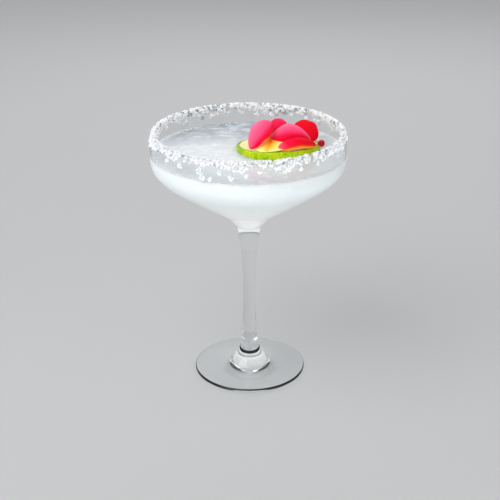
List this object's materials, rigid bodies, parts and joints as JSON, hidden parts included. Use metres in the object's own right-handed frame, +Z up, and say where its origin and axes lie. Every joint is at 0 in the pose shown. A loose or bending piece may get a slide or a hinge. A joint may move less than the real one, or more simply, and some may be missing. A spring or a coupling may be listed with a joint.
{
  "type": "margarita cocktail",
  "caption": "Salt-rimmed stemmed cocktail glass filled with a cloudy drink, with a lime slice floating on it and a pink blossom lying on the slice.",
  "frame": {"origin": "centre of the foot's underside, on the glass's turning axis", "axes": "+Z up the stem to the rim, -Y towards the viewer of the picture, +X to the viewer's right, the side the lime slice floats on"},
  "size_m": [0.1093, 0.1092, 0.1526],
  "materials": {
    "clear_glass": "gloss",
    "cloudy_drink": "wet gloss",
    "lime_green": "satin",
    "petal_pink": "satin",
    "throat_orange": "satin",
    "bud_red": "satin"
  },
  "bodies": {
    "root": {"glass": "clear_glass", "glass_rim": "clear_glass", "drink": "cloudy_drink", "lime_slice": "lime_green", "petal_left": "petal_pink", "petal_back": "petal_pink", "petal_middle": "petal_pink", "petal_front": "petal_pink", "petal_right": "petal_pink", "petal_throat": "throat_orange", "bud": "bud_red"}
  },
  "joints": []
}
